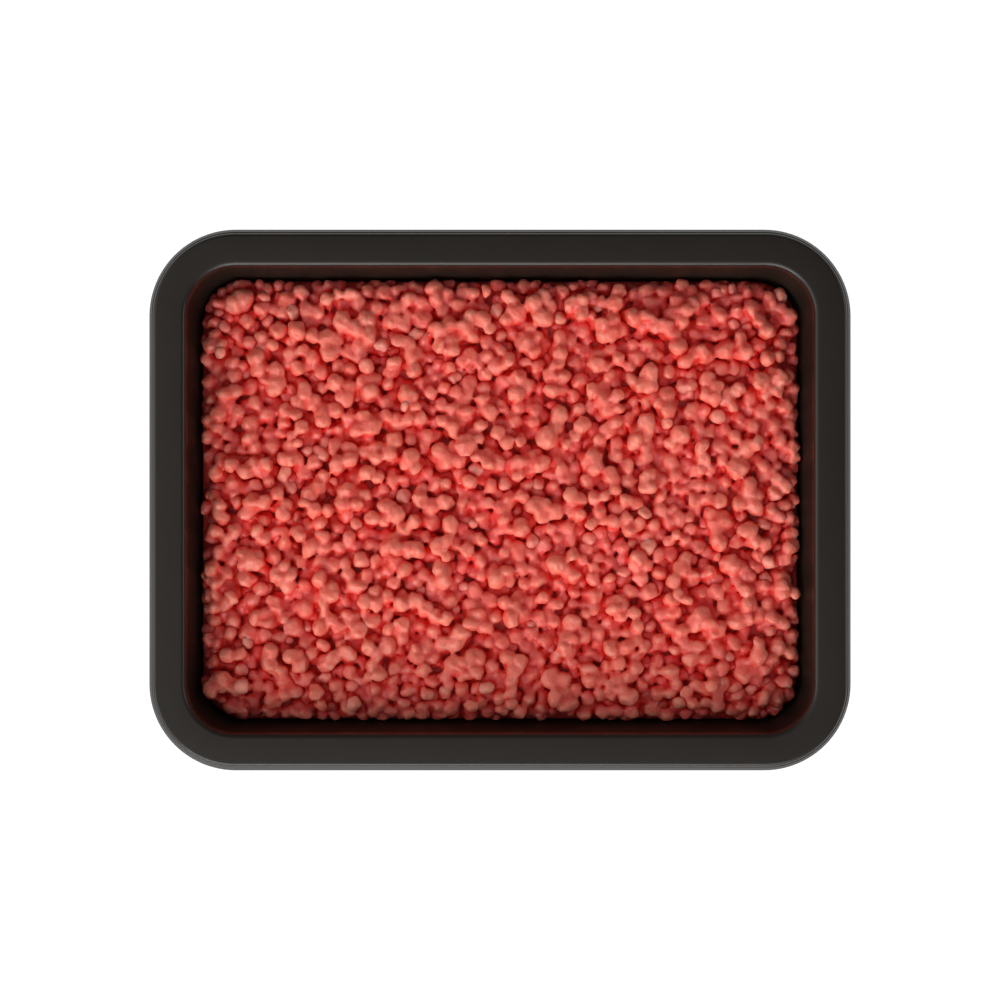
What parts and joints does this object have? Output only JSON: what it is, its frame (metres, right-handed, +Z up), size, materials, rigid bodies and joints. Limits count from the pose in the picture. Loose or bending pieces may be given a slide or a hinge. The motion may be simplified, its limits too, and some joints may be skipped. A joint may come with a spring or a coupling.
{
  "type": "tray of raw mince",
  "caption": "Open black plastic sealing tray with a flat flange and drafted walls, filled to below its rim with loose coarse raw mince.",
  "frame": {"origin": "middle of the tray's foot, at the height of the surface that it stands on", "axes": "+X along the tray's length, +Y across it, +Z up out of the open side"},
  "size_m": [0.19, 0.1466, 0.05],
  "materials": {
    "tray_plastic": "black thermoformed sheet, satin gloss",
    "raw_mince": null
  },
  "bodies": {
    "root": {"tray": "tray_plastic", "mince": "raw_mince"}
  },
  "joints": []
}
